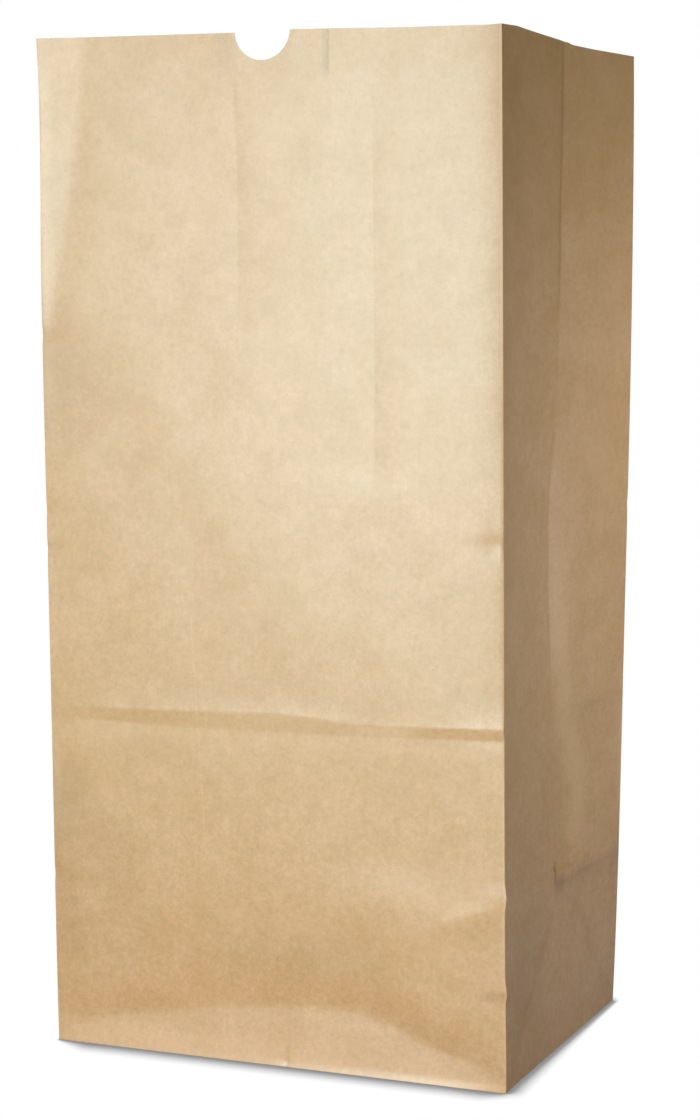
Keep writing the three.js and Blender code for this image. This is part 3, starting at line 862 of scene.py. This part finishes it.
def painted_light_places(points):
    """Paler places of painted light and painted highlights, on the front panel, on the right gusset and on
    the
    fold between them: a sum of products of smooth steps, windows and bell curves, one for each mark named
    above, of which the fold's painted highlight replaces weaker ones."""
    x, v = points[..., 0], points[..., 2]
    near_fold = (side == 0) & (share > 1 - LIT_EDGE / WIDTH) | (side == 1) & (turn < LIT_TURN)
    fold = FOLD_HIGHLIGHT + FOLD_HIGHLIGHT_MORE * ease(v, *FOLD_HIGHLIGHT_MORE_UP)
    fold = np.where(near_fold, fold, 0) * ease(v, *FOLD_HIGHLIGHT_UP)
    less = FOOT_LIGHT_LESS * ease(x, *FOOT_LIGHT_LESS_ACROSS)
    foot = FOOT_LIGHT * (1 - ease(v, *FOOT_LIGHT_UP)) * (1 - less)
    foot = foot + FOOT_STRIP * ease(x, *FOOT_STRIP_ACROSS) * (1 - ease(v, *FOOT_STRIP_UP))
    lines = LIT_LINE * mound(v - LIT_LINE_HEIGHT, LIT_LINE_REACH) + strips(x, v, LIT_STRIPS)
    front = soft_spots(x, v, FRONT_LIGHT_SPOTS) + foot + lines
    beyond = (share - 0.5) * DEPTH - np.interp(v, BAND_HEIGHTS, BAND_PLACES)
    gusset = BAND_LIGHT * mound(beyond, BAND_REACH) * window(v, *BAND_UP)
    gusset = gusset + soft_spots((1 - share) * DEPTH, v, BACK_FOLD_LIGHT)
    broad = mound(v - FAR_HEIGHT, FAR_REACH) + ease(v, *FAR_MOUTH_UP)
    gusset = gusset + FAR_LIGHT * ease(share, *FAR_ACROSS) * broad
    panels = np.select([side == 0, side == 1], [front, gusset], 0) * on_panel
    return np.maximum(fold, panels)


points = np.concatenate([base_points(), wall_points()])
row_count, column_count = points.shape[:2]
corner = np.arange(row_count * column_count).reshape(row_count, column_count)
beside = np.roll(corner, -1, axis=1)
quads = np.stack([corner[:-1], beside[:-1], beside[1:], corner[1:]], axis=-1).reshape(-1, 4)
sheet = bpy.data.meshes.new("kraft_sheet")
sheet.from_pydata(points.reshape(-1, 3) * MM, [], quads)
# Per point: stains and painted shade, and painted light
for attribute, values in (("stain_and_shade", paper_stains_and_shade(points)), ("painted_light", painted_light_places(points))):
    sheet.attributes.new(attribute, "FLOAT", "POINT").data.foreach_set("value", values.ravel())
sheet.polygons.foreach_set("use_smooth", np.ones(len(quads), dtype=bool))
bag = bpy.data.objects.new("kraft_bag", sheet)
bpy.context.collection.objects.link(bag)

# The sheet gets its thickness inwards. Where the inner face of a flap's end would come out below the
# base, it is kept just inside the outer flap. The cut edges are left sharp.
UNDER_FLAP = 0.05
SHARP_ANGLE = math.radians(50)
plies = bag.modifiers.new("two_plies", "SOLIDIFY")
plies.thickness = PAPER * MM
plies.offset = -1.0
bag_mesh = bpy.data.meshes.new_from_object(bag.evaluated_get(bpy.context.evaluated_depsgraph_get()))
bag_mesh.name = "kraft_bag"
coordinates = np.empty(len(bag_mesh.vertices) * 3)
bag_mesh.vertices.foreach_get("co", coordinates)
coordinates[2::3] = np.where(coordinates[2::3] < 0, UNDER_FLAP * MM, coordinates[2::3])
bag_mesh.vertices.foreach_set("co", coordinates)
bag_mesh.set_sharp_from_angle(angle=SHARP_ANGLE)
bag.modifiers.clear()
bag.data = bag_mesh
bpy.data.meshes.remove(sheet)


def linear(hex_colour):
    """A colour written as sRGB hex, as linear red, green, blue and an alpha of one: each channel follows
    the sRGB curve, a straight foot below 0.04045 and a power of 2.4 above it."""
    channels = [int(hex_colour[i:i + 2], 16) / 255 for i in (1, 3, 5)]
    curve = [c / 12.92 if c <= 0.04045 else ((c + 0.055) / 1.055) ** 2.4 for c in channels]
    return (*curve, 1.0)


def add_node(tree, kind, inputs=None, **settings):
    """Adds one shader node: settings become its properties, and inputs its sockets, each linked if its
    value is another node's socket and set otherwise."""
    made = tree.nodes.new("ShaderNode" + kind)
    for name, value in settings.items():
        setattr(made, name, value)
    for name, value in (inputs or {}).items():
        if isinstance(value, bpy.types.NodeSocket):
            tree.links.new(value, made.inputs[name])
        else:
            made.inputs[name].default_value = value
    return made


# Sizes and colours of the paper's grain. Single fibres are too fine to show, so the largest clumps of
# them are drawn at 6 mm, with finer ones inside, and the bark flecks lie in cells of 16 mm.
CLUMP_SIZE = 6.0
DRIFT_SIZE = 28.0
FLECK_CELL = 16.0
GRAIN_STRETCH = (1.0, 0.6, 1.0)  # the clumps are longer along the gussets
GRAIN_SPREAD_BASE = 0.19  # half the range of noise that the grain takes up, smaller where it is stronger
GRAIN_SPREAD_MOUTH = 0.27
DARK_PINK = linear("#c6a26d")
DARK_YELLOW = linear("#c09b63")
PALE_PINK = linear("#dfbb86")
PALE_YELLOW = linear("#d9b47c")
BARK = linear("#6f5436")
BARK_STRENGTH = 0.45
EMPTY_CELLS = 0.72  # share of the cells that have no fleck
FLECK_CORE = 0.025  # a fleck's dark core and its end, as shares of a cell
FLECK_END = 0.05
HUE_LOW = 0.36  # range of noise over which the drift passes from the pinker brown to the yellower one
HUE_HIGH = 0.64
STAIN_AND_SHADE_TINT = linear("#bcb5a6")
# Pale colour of the painted light and painted highlights
PAINTED_LIGHT_TINT = linear("#eccb98")
LOW_TINT = linear("#fffaff")
LOW_TINT_TOP = 250.0
TOOTH_HEIGHT = 0.2
# Hairline: a painted highlight along a fine ridge on the front panel, which leans to the left as it rises
HAIRLINE_PLACE = -50.0  # its line's place at the height of the base, from the panel's middle
HAIRLINE_LEAN = 0.0594
HAIRLINE_HALF_WIDTH = 0.5
HAIRLINE_MIDDLE = 270.0
HAIRLINE_HALF_LENGTH = 103.0
HAIRLINE_STRENGTH = 0.17


def kraft_paper():
    """Unbleached brown kraft, machine finished: an even cloudy grain of fibre clumps at every size from
    half a centimetre down, softer towards the mouth, a slow drift between a pinker and a yellower brown,
    and a few dark flecks of bark. Stains and painted shade darken it, painted light and a painted
    highlight along one hairline make it paler, and it is a trace pinker low down. It has a faint tooth,
    and a broad soft sheen where it mirrors the light."""
    material = bpy.data.materials.new("kraft_paper")
    material.use_nodes = True
    tree = material.node_tree
    tree.nodes.clear()
    place = add_node(tree, "TexCoord").outputs["Object"]
    spot = add_node(tree, "SeparateXYZ", {0: place})
    place = add_node(tree, "VectorMath", {0: place, 1: GRAIN_STRETCH}, operation="MULTIPLY").outputs[0]
    clumps = add_node(tree, "TexNoise", {
        "Vector": place, "Scale": 1 / (CLUMP_SIZE * MM), "Detail": 3.5, "Roughness": 1.0,
    })
    drift = add_node(tree, "TexNoise", {
        "Vector": place, "Scale": 1 / (DRIFT_SIZE * MM), "Detail": 2.0, "Roughness": 0.6,
    })
    spread = add_node(tree, "MapRange", {
        "Value": spot.outputs["Z"], "From Max": HEIGHT * MM,
        "To Min": GRAIN_SPREAD_BASE, "To Max": GRAIN_SPREAD_MOUTH,
    })
    lowest = add_node(tree, "Math", {0: 0.5, 1: spread.outputs["Result"]}, operation="SUBTRACT")
    highest = add_node(tree, "Math", {0: 0.5, 1: spread.outputs["Result"]}, operation="ADD")
    grain = add_node(tree, "MapRange", {
        "Value": clumps.outputs["Fac"], "From Min": lowest.outputs[0], "From Max": highest.outputs[0],
    })
    hue = add_node(tree, "MapRange", {
        "Value": drift.outputs["Fac"], "From Min": HUE_LOW, "From Max": HUE_HIGH,
    })
    darker = add_node(tree, "Mix", {
        0: hue.outputs["Result"], 6: DARK_PINK, 7: DARK_YELLOW,
    }, data_type="RGBA")
    lighter = add_node(tree, "Mix", {
        0: hue.outputs["Result"], 6: PALE_PINK, 7: PALE_YELLOW,
    }, data_type="RGBA")
    paper = add_node(tree, "Mix", {
        0: grain.outputs["Result"], 6: darker.outputs[2], 7: lighter.outputs[2],
    }, data_type="RGBA")

    flecks = add_node(tree, "TexVoronoi", {
        "Vector": place, "Scale": 1 / (FLECK_CELL * MM), "Randomness": 1.0,
    })
    near = add_node(tree, "MapRange", {
        "Value": flecks.outputs["Distance"], "From Min": FLECK_CORE, "From Max": FLECK_END,
        "To Min": BARK_STRENGTH, "To Max": 0.0,
    })
    channels = add_node(tree, "SeparateColor", {"Color": flecks.outputs["Color"]})
    chosen = add_node(tree, "Math", {0: channels.outputs["Red"], 1: EMPTY_CELLS}, operation="GREATER_THAN")
    bark = add_node(tree, "Math", {0: near.outputs["Result"], 1: chosen.outputs[0]}, operation="MULTIPLY")
    flecked = add_node(tree, "Mix", {0: bark.outputs[0], 6: paper.outputs[2], 7: BARK}, data_type="RGBA")

    # Stains and painted shade of creases, tucks and hollows darken the paper
    stain_and_shade = add_node(tree, "Attribute", attribute_name="stain_and_shade")
    stained_and_shaded = add_node(tree, "Mix", {
        0: stain_and_shade.outputs["Fac"], 6: flecked.outputs[2], 7: STAIN_AND_SHADE_TINT,
    }, data_type="RGBA", blend_type="MULTIPLY")
    # Painted light and painted highlights make the paper paler
    painted_light = add_node(tree, "Attribute", attribute_name="painted_light")
    lit_paper = add_node(tree, "Mix", {
        0: painted_light.outputs["Fac"], 6: stained_and_shaded.outputs[2], 7: PAINTED_LIGHT_TINT,
    }, data_type="RGBA")
    low_down = add_node(tree, "MapRange", {
        "Value": spot.outputs["Z"], "From Max": LOW_TINT_TOP * MM, "To Min": 1.0, "To Max": 0.0,
    })
    tinted = add_node(tree, "Mix", {
        0: low_down.outputs["Result"], 6: lit_paper.outputs[2], 7: LOW_TINT,
    }, data_type="RGBA", blend_type="MULTIPLY")

    # The hairline: a painted highlight along a fine ridge
    upright = add_node(tree, "Math", {
        0: spot.outputs["Z"], 1: HAIRLINE_LEAN, 2: spot.outputs["X"],
    }, operation="MULTIPLY_ADD")
    in_width = add_node(tree, "Math", {
        0: upright.outputs[0], 1: HAIRLINE_PLACE * MM, 2: HAIRLINE_HALF_WIDTH * MM,
    }, operation="COMPARE")
    in_length = add_node(tree, "Math", {
        0: spot.outputs["Z"], 1: HAIRLINE_MIDDLE * MM, 2: HAIRLINE_HALF_LENGTH * MM,
    }, operation="COMPARE")
    in_front = add_node(tree, "Math", {0: spot.outputs["Y"], 1: 0.0}, operation="LESS_THAN")
    hairline = HAIRLINE_STRENGTH
    for inside in (in_width, in_length, in_front):
        narrowed = add_node(tree, "Math", {0: inside.outputs[0], 1: hairline}, operation="MULTIPLY")
        hairline = narrowed.outputs[0]
    with_hairline_highlight = add_node(tree, "Mix", {
        0: hairline, 6: tinted.outputs[2], 7: PAINTED_LIGHT_TINT,
    }, data_type="RGBA")

    tooth = add_node(tree, "Bump", {
        "Strength": 0.12, "Distance": TOOTH_HEIGHT * MM, "Height": clumps.outputs["Fac"],
    })
    shader = add_node(tree, "BsdfPrincipled", {
        "Base Color": with_hairline_highlight.outputs[2],
        "Normal": tooth.outputs["Normal"],
        "Roughness": 0.365,
        "IOR": 1.55,
        "Specular IOR Level": 1.0,
    })
    add_node(tree, "OutputMaterial", {"Surface": shader.outputs["BSDF"]})
    return material


bag_mesh.materials.append(kraft_paper())
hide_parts("paper_bag")
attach(bag, "root")

# Studio: a white paper sweep, softboxes for front and gusset, a low card, and a surround that is brightest
# at the left. Sweep and surround show white only to the camera and through clear things: nothing here is
# metal or glass, and a white room in the paper's sheen would veil the gusset.
FLOOR_SIZE = 12.0
FLOOR_DROP = 0.0002  # below the bag's base, so that the two faces don't coincide
FLOOR_GREY = linear("#c4c4c4")  # what it gives back to the bag
SHADOW_REACH = 0.03  # in front of the bag
SHADOW_REACH_RIGHT = 0.018
SHADOW_REACH_BACK = 0.0055
SHADOW_REACH_LEFT = 0.002
SHADOW_FULL = 0.61  # share of open sky at which the shadow is deepest
SHADOW_DEEPEST = 0.275
# Places between which one reach passes into the next
RIGHT_FRONT = -0.15
RIGHT_BACK = 0.16
RIGHT_START = 0.19
RIGHT_END = 0.21
LEFT_START = -0.205
LEFT_END = -0.17


def studio_floor():
    """White paper sweep: matt in the light. To the camera it is an even white, darkened by the share of
    its sky that the bag takes within the shadow's reach, evenly down to the deepest level at the base's
    edge. The reach passes straight from one side of the bag to the next."""
    material = bpy.data.materials.new("white_sweep")
    material.use_nodes = True
    tree = material.node_tree
    tree.nodes.clear()
    rays = add_node(tree, "LightPath")
    seen = add_node(tree, "Math", {
        0: rays.outputs["Is Camera Ray"], 1: rays.outputs["Is Transmission Ray"],
    }, operation="MAXIMUM")
    place = add_node(tree, "SeparateXYZ", {0: add_node(tree, "TexCoord").outputs["Object"]})
    beside = add_node(tree, "MapRange", {
        "Value": place.outputs["Y"], "From Min": RIGHT_FRONT, "From Max": RIGHT_BACK,
        "To Min": SHADOW_REACH_RIGHT, "To Max": SHADOW_REACH_BACK,
    })
    right = add_node(tree, "MapRange", {
        "Value": place.outputs["X"], "From Min": RIGHT_START, "From Max": RIGHT_END,
        "To Min": SHADOW_REACH, "To Max": beside.outputs["Result"],
    })
    left = add_node(tree, "MapRange", {
        "Value": place.outputs["X"], "From Min": LEFT_START, "From Max": LEFT_END,
        "To Min": SHADOW_REACH_LEFT, "To Max": SHADOW_REACH,
    })
    reach = add_node(tree, "Math", {
        0: right.outputs["Result"], 1: left.outputs["Result"],
    }, operation="MINIMUM")
    open_sky = add_node(tree, "AmbientOcclusion", {"Distance": reach.outputs[0]}, samples=16)
    shade = add_node(tree, "MapRange", {
        "Value": open_sky.outputs["AO"], "From Min": SHADOW_FULL, "To Min": SHADOW_DEEPEST,
    })
    white = add_node(tree, "BsdfDiffuse", {"Color": FLOOR_GREY})
    glow = add_node(tree, "Emission", {"Strength": shade.outputs["Result"]})
    mixed = add_node(tree, "MixShader", {0: seen.outputs[0], 1: white.outputs[0], 2: glow.outputs[0]})
    add_node(tree, "OutputMaterial", {"Surface": mixed.outputs[0]})
    return material


floor_corners = FLOOR_SIZE / 2 * np.array([[-1, -1, 0], [1, -1, 0], [1, 1, 0], [-1, 1, 0]])
floor_mesh = bpy.data.meshes.new("floor")
floor_mesh.from_pydata(floor_corners - [0, 0, FLOOR_DROP], [], [(0, 1, 2, 3)])
floor_mesh.materials.append(studio_floor())
floor = bpy.data.objects.new("floor", floor_mesh)
bpy.context.collection.objects.link(floor)


def softbox(name, place, aim, size, watts, colour):
    """A rectangular area lamp at a place, turned to face the point that it aims at."""
    lamp = bpy.data.lights.new(name, "AREA")
    lamp.shape = "RECTANGLE"
    lamp.size, lamp.size_y = size
    lamp.energy = watts
    lamp.color = colour
    holder = bpy.data.objects.new(name, lamp)
    holder.location = place
    holder.rotation_euler = (Vector(aim) - Vector(place)).to_track_quat("-Z", "Y").to_euler()
    bpy.context.collection.objects.link(holder)
    return holder


# The front's softbox is hidden from the sheen, which a cooler panel just behind it gives instead. The
# gusset's softbox has a bluer fill just behind it, which is hidden from the sheen, as the low card is.
FRONT_AIM = (0.0, -0.15, 0.45)
GUSSET_AIM = (0.2, 0.0, 0.41)
CARD_AIM = (0.05, -0.15, 0.12)
tall_softbox = softbox(
    "tall_softbox", place=(-0.655, -2.60, 0.641), aim=FRONT_AIM, size=(0.875, 1.477),
    watts=30.4, colour=(1.0, 0.995, 0.985),
)
tall_softbox.visible_glossy = False
tall_sheen = softbox(
    "tall_sheen", place=(-0.66, -2.62, 0.643), aim=FRONT_AIM, size=(0.882, 1.489),
    watts=26.8, colour=(0.72, 0.943, 1.0),
)
tall_sheen.visible_diffuse = False
softbox(
    "gusset_softbox", place=(0.61, 0.21, 0.48), aim=GUSSET_AIM, size=(0.46, 0.46),
    watts=0.41, colour=(1.0, 0.96, 0.94),
)
gusset_fill = softbox(
    "gusset_fill", place=(0.628, 0.219, 0.483), aim=GUSSET_AIM, size=(0.46, 0.46),
    watts=1.055, colour=(0.852, 0.813, 1.0),
)
gusset_fill.visible_glossy = False
floor_card = softbox(
    "floor_card", place=(0.15, -0.75, 0.06), aim=CARD_AIM, size=(0.8, 0.12),
    watts=0.7, colour=(0.92, 0.94, 1.0),
)
floor_card.visible_glossy = False

# The surround is bright in two lobes, at the left and in front to the right: heading, and strength in its
# middle. Each falls off with a power of the cosine to its heading.
SURROUND_LOBES = [((-1.0, 0.0, 0.0), 1.84), ((0.5, -0.866, 0.0), 1.333)]
LOBE_POWER = 3.0

world = bpy.data.worlds.new("surround")
world.use_nodes = True
tree = world.node_tree
tree.nodes.clear()
rays = add_node(tree, "LightPath")
heading = add_node(tree, "TexCoord").outputs["Generated"]
room = 0.0
for towards, strength in SURROUND_LOBES:
    along = add_node(tree, "VectorMath", {0: heading, 1: towards}, operation="DOT_PRODUCT")
    along = add_node(tree, "Math", {0: along.outputs["Value"], 1: 0.0}, operation="MAXIMUM")
    lobe = add_node(tree, "Math", {0: along.outputs[0], 1: LOBE_POWER}, operation="POWER")
    lobes = add_node(tree, "Math", {0: lobe.outputs[0], 1: strength, 2: room}, operation="MULTIPLY_ADD")
    room = lobes.outputs[0]
seen = add_node(tree, "Math", {
    0: rays.outputs["Is Camera Ray"], 1: rays.outputs["Is Transmission Ray"],
}, operation="MAXIMUM")
level = add_node(tree, "Mix", {0: seen.outputs[0], 2: room, 3: 1.0}, data_type="FLOAT")
sky = add_node(tree, "Background", {"Color": (1.0, 1.0, 1.0, 1.0), "Strength": level.outputs[0]})
add_node(tree, "OutputWorld", {"Surface": sky.outputs["Background"]})
bpy.context.scene.world = world
bpy.context.scene.view_settings.view_transform = "Standard"
